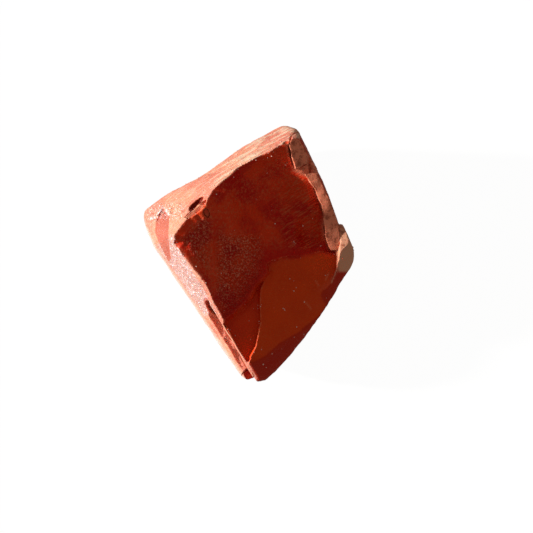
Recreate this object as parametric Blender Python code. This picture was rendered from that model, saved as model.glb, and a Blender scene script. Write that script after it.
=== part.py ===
"""A broken detailing clay bar: one brick-red lump, about 78 x 63 x 39 mm, and the flakes that parted from it.

Frame: metres, +Z up, origin on the flat underside, below the middle of the outline. The broken face looks up,
+Y runs to the far corner and the lump is longest along Y.
"""

import math

import bmesh
import bpy
from mathutils import Matrix, Vector

MM = 0.001

# Driving dimensions, in millimetres.
GAP = 0.3  # between pieces that lie against each other
EDGE_ROUND = 1.1  # worn outer edges
BLANK = 120.0  # side of the block that the facets are cut from
REACH = 60.0  # how far cutters run past the lump
SAME_PLANE = 1.0  # facets that meet at less than this many degrees are one facet
SAME_POINT = 0.05  # corners nearer than this are one corner
SAME_CURVE = 0.2  # degrees, for the faces of the rounded edges

# Outer skin, one entry a facet: (way it faces, steepness, a point on it).
# The way is in degrees from +X towards +Y. Steepness 0 looks straight up, 90 is upright, 180 looks down.
UPPER_FACETS = {
    "far_strip": (116.8, 65.7, (3.3, 28.2, 36.7)),
    "far_left_strip": (141, 59.4, (-14.5, 13.7, 39.0)),
    "left_corner_top": (176, 60, (-21.6, 4.6, 38.5)),
    "left_corner_scrape": (190, 68, (-22.6, 3.2, 36.0)),
    "left_side_top": (219.1, 68.6, (-10.5, -14.2, 30.0)),
    "far_corner_top": (80, 62, (10.5, 37.2, 30.0)),
    "right_side_top": (24.8, 80, (23.9, 19.0, 24.0)),
    "right_corner_top": (-8, 56, (30.6, 0.0, 24.6)),
    "near_bevel_a": (-30, 50, (29.4, -4.2, 22.4)),
    "near_bevel_b": (-45, 43, (16.35, -18.75, 20.3)),
    "near_bevel_c": (-46, 44, (7.05, -28.95, 19.9)),
}
SIDE_FACETS = {
    "far_side": (120, 99, (-11.4, 26.3, 22.0)),
    "far_corner": (75, 100, (11.0, 39.2, 24.0)),
    "far_right_corner": (48, 98, (14.3, 37.2, 24.0)),
    "right_side": (24.8, 100, (23.4, 18.8, 21.0)),
    "right_corner": (0, 98, (31.0, 0.0, 16.0)),
    "near_right_corner": (-33, 98, (28.9, -6.2, 15.0)),
    "near_side_a": (-28, 98, (24.9, -12.6, 14.0)),
    "near_side_b": (-36, 98, (19.4, -21.6, 13.5)),
    "near_side_c": (-45, 98, (13.0, -30.2, 13.0)),
    "near_tip_right": (-70, 97, (4.0, -38.4, 13.0)),
    "near_tip": (-112, 96, (-2.2, -39.2, 13.0)),
    "left_side": (211.4, 96, (-19.0, -11.7, 15.0)),
    "left_corner": (178, 97, (-31.3, 12.0, 17.0)),
    "left_far_corner": (142, 98, (-29.6, 16.0, 17.0)),
}
LOWER_FACETS = {
    "far_foot": (118, 138, (-8.0, 25.5, 3.5)),
    "right_foot": (30, 132, (22.5, 14.0, 4.5)),
    "near_foot": (-36, 135, (15.5, -20.8, 3.5)),
    "left_foot": (207, 140, (-15.5, -12.0, 3.0)),
    "left_corner_foot": (165, 130, (-26.5, 11.5, 4.5)),
    "tip_foot": (-80, 128, (0.0, -34.0, 3.5)),
    "far_corner_foot": (70, 130, (9.5, 34.5, 4.0)),
    "right_corner_foot": (-5, 131, (26.5, -1.0, 3.5)),
    "base": (0, 180, (0.0, 0.0, 0.0)),
}

# Breaks. A break takes away what lies above its floor and inside its walls.
# A wall's way points at the clay that stays, so the break ends there.
MAIN_BREAK = {
    "floor": (-38, 24, (0.0, 0.0, 30.3)),
    "right_wall": (5, 78, (27.2, 2.0, 24.0)),
}
STRIP_BREAK = {  # the strip along the right side, which leans outwards
    "floor": (2, 54, (20.55, 17.25, 28.0)),
    "near_wall": (-70, 70, (27.0, 7.6, 22.0)),
}
CORNER_BREAK = {  # the pale facet at the right corner, which leans back towards the scooped hollow
    "floor": (165, 10, (28.6, 2.0, 24.2)),
    "left_wall": (180, 88, (24.0, 3.0, 25.0)),
}
STEP_BREAK = {  # the lower, smoother facet beyond the step across the face
    "floor": (-50, 14, (14.0, 1.0, 24.6)),
    "far_wall": (96, 62, (14.0, 1.6, 25.6)),
    "step_wall": (136, 76, (1.6, -10.6, 25.0)),
    "left_wall": (182, 52, (3.9, -13.0, 23.4)),
    "right_wall": (-12, 70, (27.4, -3.0, 23.0)),
}
GULLY_BREAK = {  # the smooth triangle between the step and the long thin edge
    "floor": (-60, 9, (1.0, -14.0, 22.1)),
    "step_wall": (136, 76, (1.6, -10.6, 25.0)),
    "left_wall": (209.8, 80, (-4.6, -23.8, 23.0)),
    "right_wall": (4, 70, (4.6, -14.0, 23.0)),
}
SCOOP = (Vector((9.8, 10.0, 44.2)), Vector((16.4, 21.5, 18.2)), 12)  # the broad hollow: centre, radii, turn
UNDERCUT = (Vector((18.6, 6.0, 33.6)), Vector((5.6, 9.5, 11.0)), 14)  # its deep end, below the rim flake
TIP_BITE = (Vector((4.3, -39.0, 15.0)), Vector((1.7, 1.7, 4.0)), 0)

# The side slab is split off along one upright plane, which follows the left rim of the broken face.
SPLIT_WAY = 208.6
SPLIT_POINT = Vector((-10.6, -13.2, 0.0))
SPLIT_FOOT = 7.0  # the split stops this far above the underside
SLAB_TOP_END = (118, 92, (-20.5, 5.6, 20.0))  # and here, by the left corner
GROOVE_BREAK = {  # the long notch between the slab's outer skin and the fin
    "floor": (-62, 22, (-7.0, -24.0, 18.2)),
    "left_wall": (206, 82, (-9.0, -21.8, 21.0)),
    "far_wall": (118.6, 62, (-11.2, -15.0, 27.0)),
}
GROOVE_POCKET = (Vector((-10.3, -15.6, 26.5)), Vector((1.3, 3.2, 6.0)), 28)  # deep end: centre, radii, turn

# Along and across the split, and up: the fin and the block at the slab's near end.
FIN_ALONG = (0.6, 26.2)
FIN_THICK = 0.8
FIN_TOPS = (31.4, 20.8)  # height of its edge at either end
FIN_DEPTH = 8.0
TIP_CRACK = (-48, 80, (-1.6, -34.4, 17.0))  # the crack between the slab and the block
TIP_FACE = (-52, 40, (-3.0, -33.6, 13.2))  # the block's broken face

# Flakes that are still in place. Each is an outline seen from above (clockwise), a floor and a sloping top.
CORNER_CHIP = {
    "outline": (
        (12.2, 31.6), (13.2, 34.6), (15.6, 36.6), (17.6, 33.0), (17.4, 26.4), (14.0, 25.2), (13.0, 28.4),
    ),
    "floor": 29.6,
    "top": (-20, 22, (14.8, 30.0, 34.6)),
}
RIM_FLAKE = {
    "outline": (
        (16.9, 23.4), (20.9, 23.8), (23.2, 18.6), (25.2, 13.4), (26.9, 8.4), (27.4, 3.6), (26.4, 1.6),
        (24.6, 1.8), (23.4, 4.6), (22.6, 8.2), (22.3, 12.6), (20.9, 16.4), (19.0, 20.4),
    ),
    "floor": 22.0,
    "top": (-64, 17, (21.2, 15.6, 29.6)),
}
NOTCH_SHARD = {
    "outline": (
        (-17.4, 11.0), (-15.6, 12.7), (-13.7, 14.3), (-12.2, 15.6), (-11.0, 16.0), (-11.9, 13.9),
        (-13.4, 12.7), (-15.0, 11.4), (-16.6, 10.2),
    ),
    "floor": 34.2,
    "top": (-60, 8, (-14.0, 13.2, 37.8)),
}
WALL_TONGUE = {
    "outline": (
        (-12.0, 12.6), (-11.7, 13.2), (-10.9, 13.0), (-10.5, 11.6), (-11.0, 10.9), (-11.8, 11.4),
    ),
    "floor": 34.6,
    "top": (-60, 30, (-11.2, 12.2, 38.4)),
}
FLAKES = {
    "corner_chip": CORNER_CHIP,
    "rim_flake": RIM_FLAKE,
    "notch_shard": NOTCH_SHARD,
    "wall_tongue": WALL_TONGUE,
}
NOTCH = (Vector((-14.6, 14.9, 38.2)), Vector((3.3, 1.0, 4.2)), 41)  # pit behind the shard
FLAKE_ROUND = 0.2  # blunted upper edges of a flake

COLOURS = {  # linear red, green, blue, then roughness
    "scuffed_skin": ((0.50, 0.15, 0.08), 0.62),
    "fresh_break": ((0.14, 0.010, 0.003), 0.38),
    "thin_edge": ((0.62, 0.17, 0.08), 0.45),
}


def clear_scene():
    for item in list(bpy.data.objects):
        bpy.data.objects.remove(item)


def new_collection(name):
    group = bpy.data.collections.new(name)
    bpy.context.scene.collection.children.link(group)
    return group


def new_material(name):
    colour, roughness = COLOURS[name]
    material = bpy.data.materials.new(name)
    material.use_nodes = True
    shader = material.node_tree.nodes["Principled BSDF"]
    shader.inputs["Base Color"].default_value = (*colour, 1.0)
    shader.inputs["Roughness"].default_value = roughness
    shader.inputs["Metallic"].default_value = 0.0
    return material


def place(mesh, name, group, material=None):
    item = bpy.data.objects.new(name, mesh)
    group.objects.link(item)
    if material:
        item.data.materials.append(material)
    return item


def finish_mesh(bm, name):
    """Turns a bmesh in millimetres into a mesh in metres, with its faces pointing out."""
    bmesh.ops.recalc_face_normals(bm, faces=bm.faces)
    bmesh.ops.scale(bm, verts=bm.verts, vec=(MM, MM, MM))
    mesh = bpy.data.meshes.new(name)
    bm.to_mesh(mesh)
    bm.free()
    return mesh


def direction(way, steepness):
    way, steepness = math.radians(way), math.radians(steepness)
    aside = math.sin(steepness)
    return Vector((math.cos(way) * aside, math.sin(way) * aside, math.cos(steepness)))


def cut_away(bm, point, normal):
    """Removes what lies beyond the plane and closes the hole."""
    everything = bm.verts[:] + bm.edges[:] + bm.faces[:]
    cut = bmesh.ops.bisect_plane(
        bm, geom=everything, dist=1e-6, plane_co=point, plane_no=normal, clear_outer=True
    )
    rim = [part for part in cut["geom_cut"] if isinstance(part, bmesh.types.BMEdge)]
    if rim:
        bmesh.ops.holes_fill(bm, edges=rim, sides=0)


def facetted_block(facets):
    bm = bmesh.new()
    bmesh.ops.create_cube(bm, size=BLANK)
    for way, steepness, point in facets:
        cut_away(bm, Vector(point), direction(way, steepness))
    return bm


def merge_flat(bm, degrees):
    bmesh.ops.dissolve_limit(bm, angle_limit=math.radians(degrees), verts=bm.verts, edges=bm.edges)


def wrap(bm):
    """Puts one closed convex skin round the corners, which clears any flaw of the bevel."""
    bmesh.ops.remove_doubles(bm, verts=bm.verts, dist=SAME_POINT)
    hull = bmesh.ops.convex_hull(bm, input=bm.verts)
    inner = [part for part in hull["geom_interior"] if isinstance(part, bmesh.types.BMVert)]
    bmesh.ops.delete(bm, geom=inner, context="VERTS")
    skin = set(hull["geom"])
    old = [face for face in bm.faces if face not in skin]
    bmesh.ops.delete(bm, geom=old, context="FACES")


def lump_mesh():
    """The whole lump before anything broke off it, with its worn edges rounded."""
    facets = [*UPPER_FACETS.values(), *SIDE_FACETS.values(), *LOWER_FACETS.values()]
    bm = facetted_block(facets)
    merge_flat(bm, SAME_PLANE)
    edges = bm.edges[:]
    bmesh.ops.bevel(
        bm, geom=edges, offset=EDGE_ROUND, segments=2, profile=0.5, clamp_overlap=True, affect="EDGES"
    )
    wrap(bm)
    merge_flat(bm, SAME_CURVE)
    return finish_mesh(bm, "lump")


def break_mesh(name, faces):
    """A cutter: above its floor and on this side of its walls."""
    bm = bmesh.new()
    bmesh.ops.create_cube(bm, size=BLANK)
    bmesh.ops.translate(bm, verts=bm.verts, vec=(0, 0, BLANK / 2))
    for part, (way, steepness, point) in faces.items():
        outward = -direction(way, steepness) if part == "floor" else direction(way, 180 - steepness)
        cut_away(bm, Vector(point), outward)
    return finish_mesh(bm, name)


def ball_mesh(name, centre, radii, turn=0.0, segments=48):
    bm = bmesh.new()
    bmesh.ops.create_uvsphere(bm, u_segments=segments, v_segments=segments // 2, radius=1.0)
    turned = Matrix.Rotation(math.radians(turn), 4, "Z") @ Matrix.Diagonal((*radii, 1))
    bmesh.ops.transform(bm, verts=bm.verts, matrix=Matrix.Translation(centre) @ turned)
    return finish_mesh(bm, name)


def split_frame():
    """A frame at SPLIT_POINT: X along the split towards the near tip, Y across it into the lump, Z up."""
    across = -direction(SPLIT_WAY, 90)
    along = across.cross(Vector((0, 0, 1)))
    turned = Matrix((along, across, Vector((0, 0, 1)))).transposed().to_4x4()
    return Matrix.Translation(SPLIT_POINT) @ turned


def split_box(along, across, up):
    """A box in the split's own frame; each argument is (from, to)."""
    bm = bmesh.new()
    bmesh.ops.create_cube(bm, size=1.0)
    spans = (along, across, up)
    size = Matrix.Diagonal((*(high - low for low, high in spans), 1))
    middle = Matrix.Translation([(low + high) / 2 for low, high in spans])
    bmesh.ops.transform(bm, verts=bm.verts, matrix=split_frame() @ middle @ size)
    return bm


def slab_side_mesh(name, margin):
    """The clay on the slab's side of the split, larger by the margin on every split face."""
    way, steepness, point = SLAB_TOP_END
    normal = direction(way, steepness)
    bm = split_box((-REACH, REACH), (-REACH, margin), (SPLIT_FOOT - margin, REACH))
    cut_away(bm, Vector(point) + normal * margin, normal)
    return finish_mesh(bm, name)


def fin_mesh(name, margin=0.0):
    """A thin plate standing on edge in the split, its upper edge falling towards the near tip."""
    along = (FIN_ALONG[0] - margin, FIN_ALONG[1] + margin)
    foot = min(FIN_TOPS) - FIN_DEPTH - margin
    bm = split_box(along, (-FIN_THICK - margin, margin), (foot, REACH))
    fall = (FIN_TOPS[0] - FIN_TOPS[1]) / (FIN_ALONG[1] - FIN_ALONG[0])
    frame = split_frame()
    slope = frame.to_3x3() @ Vector((fall, 0, 1)).normalized()
    if not margin:
        cut_away(bm, frame @ Vector((FIN_ALONG[0], 0, FIN_TOPS[0])), slope)
    return finish_mesh(bm, name)


def beyond_mesh(name, face, margin=0.0):
    """Everything on the outer side of a sloping face."""
    way, steepness, point = face
    normal = direction(way, steepness)
    bm = bmesh.new()
    bmesh.ops.create_cube(bm, size=BLANK)
    cut_away(bm, Vector(point) - normal * margin, -normal)
    return finish_mesh(bm, name)


def grown(outline, margin):
    """The clockwise outline moved outwards by the margin."""
    corners = [Vector(corner) for corner in outline]
    moved = []
    for i, corner in enumerate(corners):
        arriving = (corner - corners[i - 1]).normalized()
        leaving = (corners[(i + 1) % len(corners)] - corner).normalized()
        before, after = Vector((-arriving.y, arriving.x)), Vector((-leaving.y, leaving.x))
        mitre = (before + after).normalized()
        moved.append(corner + mitre * margin / max(0.5, mitre.dot(before)))
    return moved


def flake_mesh(name, flake, margin=0.0):
    """A flake's outline raised from its floor and cut by its sloping top; with a margin, the flake's seat."""
    bm = bmesh.new()
    ring = [bm.verts.new((*corner, flake["floor"] - margin)) for corner in grown(flake["outline"], margin)]
    floor = bm.faces.new(ring)
    risen = bmesh.ops.extrude_face_region(bm, geom=[floor])
    raised = [part for part in risen["geom"] if isinstance(part, bmesh.types.BMVert)]
    bmesh.ops.translate(bm, verts=raised, vec=(0, 0, REACH))
    if not margin:
        way, steepness, point = flake["top"]
        cut_away(bm, Vector(point), direction(way, steepness))
        bmesh.ops.recalc_face_normals(bm, faces=bm.faces)
        upper = [edge for edge in bm.edges if all(vert.co.z > flake["floor"] for vert in edge.verts)]
        bmesh.ops.bevel(bm, geom=upper, offset=FLAKE_ROUND, segments=1, affect="EDGES", clamp_overlap=True)
    return finish_mesh(bm, name)


def add_boolean(item, operation, tool):
    modifier = item.modifiers.new(f"{operation.lower()} {tool.name}", "BOOLEAN")
    modifier.operation = operation
    modifier.object = tool
    modifier.solver = "EXACT"


def shape(item, keep=(), remove=()):
    for tool in keep:
        add_boolean(item, "INTERSECT", tool)
    for tool in remove:
        add_boolean(item, "DIFFERENCE", tool)
    return item


def main():
    clear_scene()
    parts = new_collection("clay_bar")
    cutters = new_collection("cutters")
    skin, fresh, thin = (new_material(name) for name in COLOURS)

    def tool(mesh):
        item = place(mesh, mesh.name, cutters)
        item.hide_render = True
        item.display_type = "WIRE"
        return item

    main_break = tool(break_mesh("main_break", MAIN_BREAK))
    scoop = tool(ball_mesh("scoop", *SCOOP))
    undercut = tool(ball_mesh("undercut", *UNDERCUT, segments=32))
    step_break = tool(break_mesh("step_break", STEP_BREAK))
    gully_break = tool(break_mesh("gully_break", GULLY_BREAK))
    groove_break = tool(break_mesh("groove_break", GROOVE_BREAK))
    groove_pocket = tool(ball_mesh("groove_pocket", *GROOVE_POCKET, segments=24))
    notch = tool(ball_mesh("notch", *NOTCH, segments=24))
    tip_bite = tool(ball_mesh("tip_bite", *TIP_BITE, segments=16))
    corner_break = tool(break_mesh("corner_break", CORNER_BREAK))
    strip_break = tool(break_mesh("strip_break", STRIP_BREAK))
    tip_face = tool(beyond_mesh("tip_face", TIP_FACE))
    slab_side = tool(slab_side_mesh("slab_side", 0.0))
    slab_room = tool(slab_side_mesh("slab_room", GAP))
    fin_room = tool(fin_mesh("fin_room", GAP))
    past_crack = tool(beyond_mesh("past_crack", TIP_CRACK))
    crack_room = tool(beyond_mesh("crack_room", TIP_CRACK, GAP))

    seats = [tool(flake_mesh(f"{name}_seat", flake, GAP)) for name, flake in FLAKES.items()]

    core = place(lump_mesh(), "clay_core", parts, fresh)
    breaks = (main_break, scoop, undercut, step_break, gully_break, strip_break, corner_break)
    shape(core, remove=(*breaks, notch, tip_bite, slab_room, *seats))

    slab = place(lump_mesh(), "side_slab", parts, skin)
    shape(slab, keep=(slab_side,), remove=(main_break, groove_break, groove_pocket, fin_room, crack_room))

    block = place(lump_mesh(), "tip_block", parts, fresh)
    shape(block, keep=(slab_side, past_crack), remove=(tip_face, fin_room))

    whole = tool(lump_mesh())
    fin = place(fin_mesh("groove_fin"), "groove_fin", parts, thin)
    shape(fin, keep=(whole,))

    for name, flake in FLAKES.items():
        item = place(flake_mesh(name, flake), name, parts, skin)
        shape(item, keep=(whole,))


main()
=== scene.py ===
import math

import bmesh
import bpy
import numpy as np
import openvdb
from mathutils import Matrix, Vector


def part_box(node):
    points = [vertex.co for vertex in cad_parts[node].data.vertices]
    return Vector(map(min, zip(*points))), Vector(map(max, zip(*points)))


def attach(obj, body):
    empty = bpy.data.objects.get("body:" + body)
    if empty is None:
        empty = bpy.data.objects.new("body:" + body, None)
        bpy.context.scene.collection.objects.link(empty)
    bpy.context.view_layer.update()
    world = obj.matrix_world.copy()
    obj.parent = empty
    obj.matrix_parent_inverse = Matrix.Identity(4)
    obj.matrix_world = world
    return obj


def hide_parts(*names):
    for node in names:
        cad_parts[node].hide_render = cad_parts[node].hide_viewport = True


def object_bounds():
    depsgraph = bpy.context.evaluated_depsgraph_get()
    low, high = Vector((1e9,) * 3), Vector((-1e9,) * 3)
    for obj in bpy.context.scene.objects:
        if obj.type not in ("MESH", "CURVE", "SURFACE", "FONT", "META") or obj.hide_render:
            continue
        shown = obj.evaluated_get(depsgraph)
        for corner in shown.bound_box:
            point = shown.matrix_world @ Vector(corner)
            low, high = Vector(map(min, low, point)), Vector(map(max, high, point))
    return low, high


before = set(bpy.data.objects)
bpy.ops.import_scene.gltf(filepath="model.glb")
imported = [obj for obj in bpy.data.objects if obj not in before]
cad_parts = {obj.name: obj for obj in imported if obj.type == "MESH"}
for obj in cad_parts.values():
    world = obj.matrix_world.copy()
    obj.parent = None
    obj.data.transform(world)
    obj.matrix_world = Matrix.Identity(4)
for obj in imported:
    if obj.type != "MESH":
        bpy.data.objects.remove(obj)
cadLow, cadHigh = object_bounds()

mm = 0.001
drawnLow = np.array([-31.45, -38.58, 0.0])  # low corner of the CAD box that the shapes below suit, mm
drawnSize = np.array([63.4, 77.61, 39.18])
boxLow = np.array(cadLow) / mm
boxSize = (np.array(cadHigh) - np.array(cadLow)) / mm
stretch = boxSize / drawnSize

leftRim = [  # crest between the lit skin and the break, from the far corner round the nose to the tip
    (17.0, 36.0), (15.2, 35.2), (12.4, 34.4), (11.8, 32.6), (9.4, 31.6), (7.0, 29.8),
    (4.0, 28.6), (0.4, 26.8),
    (-2.6, 25.6), (-5.6, 23.2), (-8.6, 21.2), (-10.6, 19.0), (-11.6, 16.6), (-12.4, 14.2), (-14.6, 13.0),
    (-16.6, 11.0), (-19.0, 8.0), (-20.6, 6.2), (-21.2, 4.6), (-21.2, 3.2), (-19.6, 1.6), (-17.6, -1.0),
    (-15.2, -4.0), (-13.0, -6.8), (-11.6, -9.4), (-10.4, -12.8), (-8.8, -16.0), (-6.8, -19.4), (-4.4, -24.2),
    (-2.0, -29.0), (0.2, -32.0), (1.0, -35.0), (1.6, -37.6),
]
rightRim = [  # crest between the scooped hollow and the dusty strip, from the far corner down
    (13.2, 35.0), (11.6, 31.6), (12.4, 28.6), (13.6, 25.0), (17.2, 23.2), (18.8, 21.4), (19.4, 19.6),
    (20.6, 17.2), (21.8, 15.2), (22.4, 13.0), (22.4, 8.2), (23.2, 5.2), (24.4, 2.2), (27.0, 1.0),
]
cornerLine = [(27.0, 9.5), (27.2, 2.0), (27.4, -3.5), (27.0, -9.0)]  # left edge of the pale corner facet
troughLine = [(27.5, 1.2), (25.4, 1.0), (21.4, 1.6), (15.4, 0.2), (9.4, -0.4), (5.8, -2.2)]
shelfLine = [  # lower edge of the deep hollow
    (5.8, -5.0), (2.8, -8.2), (0.4, -11.8), (-0.4, -13.4), (-2.6, -15.2), (-4.6, -17.2), (-6.6, -18.8),
]
stepLine = [  # low step that runs down the lower face to the tip
    (7.0, -4.6), (5.0, -7.4), (4.0, -9.8), (3.8, -13.4), (4.0, -19.4), (3.4, -22.4), (2.6, -26.8),
    (1.0, -30.0),
]

lump = {
    "voxel": 0.38,
    "edgeRound": 0.42,  # mm, how worn the outer edges are
    "skinWaves": ((9.0, 0.34), (3.4, 0.13)),  # wavelength and height, mm
    "skinPits": (1.1, 0.10),
    "breakWaves": ((7.0, 0.34), (2.6, 0.13)),
    "hair": 0.06,  # half the width of a hairline crack
    "closed": -0.3,  # the same where two pieces still hold together
    "chips": 60,  # small bites along the lit crest
}


def direction(way, steepness):
    way, steepness = math.radians(way), math.radians(steepness)
    across = math.sin(steepness)
    return np.array([math.cos(way) * across, math.sin(way) * across, math.cos(steepness)])


def placed(point):
    return (np.asarray(point, float) - drawnLow) * stretch + boxLow


def drawn(line):
    return (np.asarray(line, float) - drawnLow[:2]) * stretch[:2] + boxLow[:2]


def smooth(edge0, edge1, value):
    t = np.clip((value - edge0) / (edge1 - edge0), 0, 1)
    return t * t * (3 - 2 * t)


def softMin(a, b, width):
    h = np.clip(0.5 + 0.5 * (b - a) / width, 0, 1)
    return b * (1 - h) + a * h - width * h * (1 - h)


def valueNoise(points, wavelength, seed):  # between -1 and 1, from two or three coordinate arrays in mm
    table = np.random.default_rng(seed).uniform(-1, 1, (32,) * len(points)).astype(np.float32)
    cells, weights = [], []
    for axis in points:
        scaled = axis / wavelength + 1000.37
        low = np.floor(scaled)
        t = scaled - low
        cells.append(low.astype(np.int32) & 31)
        weights.append((t * t * (3 - 2 * t)).astype(np.float32))
    total = 0
    for corner in range(2 ** len(points)):
        index, weight = [], 1.0
        for i, (cell, t) in enumerate(zip(cells, weights)):
            up = corner >> i & 1
            index.append(cell + up & 31)
            weight = weight * (t if up else 1 - t)
        total = total + table[tuple(index)] * weight
    return total


def nearestOnLine(x, y, line):  # distance, the same with left of the line positive, and place along it
    best = np.full(x.shape, 1e9)
    side = np.zeros(x.shape)
    along = np.zeros(x.shape)
    for i, (a, b) in enumerate(zip(line[:-1], line[1:])):
        step = b - a
        t = np.clip(((x - a[0]) * step[0] + (y - a[1]) * step[1]) / (step @ step), 0, 1)
        dx, dy = x - a[0] - t * step[0], y - a[1] - t * step[1]
        distance = np.hypot(dx, dy)
        closer = distance < best - 1e-9
        best = np.where(closer, distance, best)
        side = np.where(closer, step[0] * dy - step[1] * dx, side)
        along = np.where(closer, i + t, along)
    return best, best * np.sign(side), along


def insideOutline(x, y, outline):  # distance to a closed outline, positive inside it
    ring = np.vstack([outline, outline[:1]])
    best, _, _ = nearestOnLine(x, y, ring)
    inside = np.zeros(x.shape, bool)
    for a, b in zip(ring[:-1], ring[1:]):
        if a[1] == b[1]:
            continue
        crosses = (a[1] > y) != (b[1] > y)
        inside ^= crosses & (x < (b[0] - a[0]) * (y - a[1]) / (b[1] - a[1]) + a[0])
    return np.where(inside, best, -best)


def segment(x, y, a, b):
    a, b = drawn([a, b])
    return nearestOnLine(x, y, np.array([a, b]))[0]


def skinPlanes():  # every outer facet of the CAD lump over a few square millimetres, as normals and offsets
    bm = bmesh.new()
    for node in ("clay_core", "side_slab", "tip_block", "rim_flake", "corner_chip"):
        bm.from_mesh(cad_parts[node].data)
    hull = bmesh.ops.convex_hull(bm, input=bm.verts[:])
    loose = [g for g in hull["geom_interior"] + hull["geom_unused"] if isinstance(g, bmesh.types.BMVert)]
    bmesh.ops.delete(bm, geom=loose, context="VERTS")
    groups = []
    for face in bm.faces:
        area = face.calc_area() / mm**2
        normal = np.array(face.normal)
        if area < 0.02 or normal[2] > 0.79:  # the hull's flat lid over the break isn't skin
            continue
        offset = float(normal @ np.array(face.calc_center_median())) / mm
        for group in groups:
            if normal @ group[0] > 0.9996 and abs(offset - group[1]) < 0.15:
                group[2] += area
                break
        else:
            groups.append([normal, offset, area])
    bm.free()
    big = [group for group in groups if group[2] > 9]
    return np.array([group[0] for group in big]), np.array([group[1] for group in big])


normals, offsets = skinPlanes()
print(f"skin: {len(offsets)} facets from the CAD hull")


def skinField(p):
    k = lump["edgeRound"]
    total = 0
    for n, offset in zip(normals, offsets):
        total = total + np.exp(np.clip((n[0] * p[0] + n[1] * p[1] + n[2] * p[2] - offset) / k, -30, 30))
    return k * np.log(total)


def skinHeight(x, y):  # of the lowest facet there that faces up
    height = np.full(np.shape(x), 1e3)
    for n, offset in zip(normals, offsets):
        if 0.1 < n[2] < 0.85:
            height = np.minimum(height, (offset - n[0] * x - n[1] * y) / n[2])
    return height


def planeHeight(x, y, way, steepness, point):
    n = direction(way, steepness)
    c = placed(point)
    return c[2] - (n[0] * (x - c[0]) + n[1] * (y - c[1])) / n[2]


def hollow(x, y, centre, radii, turn):  # the lower half of an egg as a height, far up outside it
    c = placed(centre)
    turn = math.radians(turn)
    u = (x - c[0]) * math.cos(turn) + (y - c[1]) * math.sin(turn)
    v = (y - c[1]) * math.cos(turn) - (x - c[0]) * math.sin(turn)
    r = (u / radii[0]) ** 2 + (v / radii[1]) ** 2
    inside = c[2] - radii[2] * np.sqrt(np.clip(1 - r, 0, 1))
    return np.where(r < 1, inside, c[2] + 6 * (np.sqrt(r) - 1) * radii[2])


def crestFix(x, y, height, line, reach):  # what to add so that the break meets the skin on the crest
    wanted = skinHeight(line[:, 0], line[:, 1])
    have = sampleAt(height, line[:, 0], line[:, 1])
    distance, _, along = nearestOnLine(x, y, line)
    return np.interp(along, np.arange(len(line)), wanted - have) * np.exp(-((distance / reach) ** 2))


mapStep = 0.2
mapLow = boxLow[:2] - 3
mapCount = ((boxSize[:2] + 6) / mapStep).astype(int)


def mapGrid():
    xs = mapLow[0] + np.arange(mapCount[0]) * mapStep
    ys = mapLow[1] + np.arange(mapCount[1]) * mapStep
    return np.meshgrid(xs, ys, indexing="ij")


def sampleAt(field, x, y):  # reads a map at places in mm
    u = np.clip((x - mapLow[0]) / mapStep, 0, mapCount[0] - 1.001)
    v = np.clip((y - mapLow[1]) / mapStep, 0, mapCount[1] - 1.001)
    i, j = u.astype(int), v.astype(int)
    s, t = u - i, v - j
    top = field[i, j] * (1 - s) + field[i + 1, j] * s
    return top * (1 - t) + (field[i, j + 1] * (1 - s) + field[i + 1, j + 1] * s) * t


def hackle(x, y, way, spacing, seed):  # fine ridges along the way given, wandering and fading in and out
    way = math.radians(way)
    across = y * math.cos(way) - x * math.sin(way)
    along = x * math.cos(way) + y * math.sin(way)
    bent = across + 0.7 * valueNoise([along / 2.2, across], 3.0, seed)
    ridge = 1 - 2 * np.abs((bent / spacing) % 1 - 0.5)
    return ridge * smooth(-0.3, 0.6, valueNoise([along / 3, across], 1.7, seed + 1))


scratches = [((16.9, -13.3), (19.0, -15.8)), ((23.2, -7.1), (24.2, -4.9)), ((20.2, -7.3), (21.2, -8.9))]
nicks = [((-11.4, -3.0), (-8.2, -4.4)), ((-10.6, -4.6), (-8.6, -5.9)), ((-7.6, -9.8), (-6.2, -11.6))]


slots = [((17.9, 28.4), (18.2, 24.4)), ((11.9, 31.4), (12.7, 28.8)), ((12.7, 28.8), (13.1, 26.4))]


broken = {  # each facet: the way it falls and how steeply in degrees, and a point on it in mm
    "upper": (-38, 24, (0, 0, 30.3)),
    "strip": (2, 54, (20.55, 17.25, 28)),
    "lower": (-50, 14, (14, 1, 24.6)),
    "corner": (165, 10, (28.6, 2, 26.2)),
    "cornerFall": 0.9,  # how steeply the corner facet drops at its far end
    "scoop": ((9.8, 10.0, 44.2), (16.4, 21.5, 18.2), 12),  # the big hollow: centre, radii and turn
    "dimple": ((18.6, 6.0, 33.6), (5.6, 9.5, 11.0), 14),
    "hackle": (33, 0.85, 11),  # way, spacing in mm and seed
    "hackleHigh": 0.26,  # mm
    "grainHigh": 0.13,
    "roughWaves": [(1.3, 0.26, 15), (0.6, 0.12, 16)],  # wavelength and height in mm, and seed
    "furrow": [(-8.6, 5.6), (-9.0, 1.0), (-8.2, -3.8)],
    "ridge": [(-9.8, 7.0), (-10.2, 3.0), (-9.6, -2.0)],
}


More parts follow.
